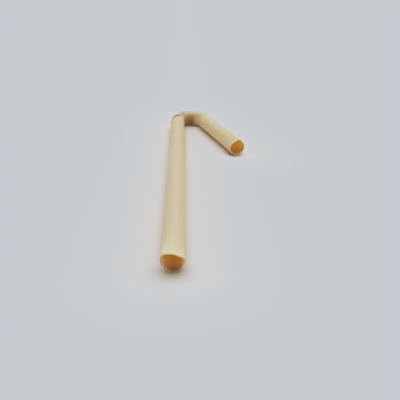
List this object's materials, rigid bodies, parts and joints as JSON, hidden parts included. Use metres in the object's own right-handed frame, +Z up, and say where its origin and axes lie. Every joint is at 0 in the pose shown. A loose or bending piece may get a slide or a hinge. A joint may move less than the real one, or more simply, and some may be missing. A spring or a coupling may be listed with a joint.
{
  "type": "plastic drinking straw",
  "caption": "Thin round plastic drinking straw, bent back on itself by a sharp kink and a rounder elbow, open at both ends.",
  "frame": {"origin": "middle of the straw's outline on the surface that it lies on, under the straw", "axes": "+Z up from the surface; the long leg's axis is parallel to Y, with its mouth towards -Y and the bend towards +Y; the short leg lies on the +X side"},
  "size_m": [0.0294, 0.1468, 0.0065],
  "materials": {
    "straw_plastic": "satin, slightly translucent"
  },
  "bodies": {
    "root": {"straw": "straw_plastic"}
  },
  "joints": []
}
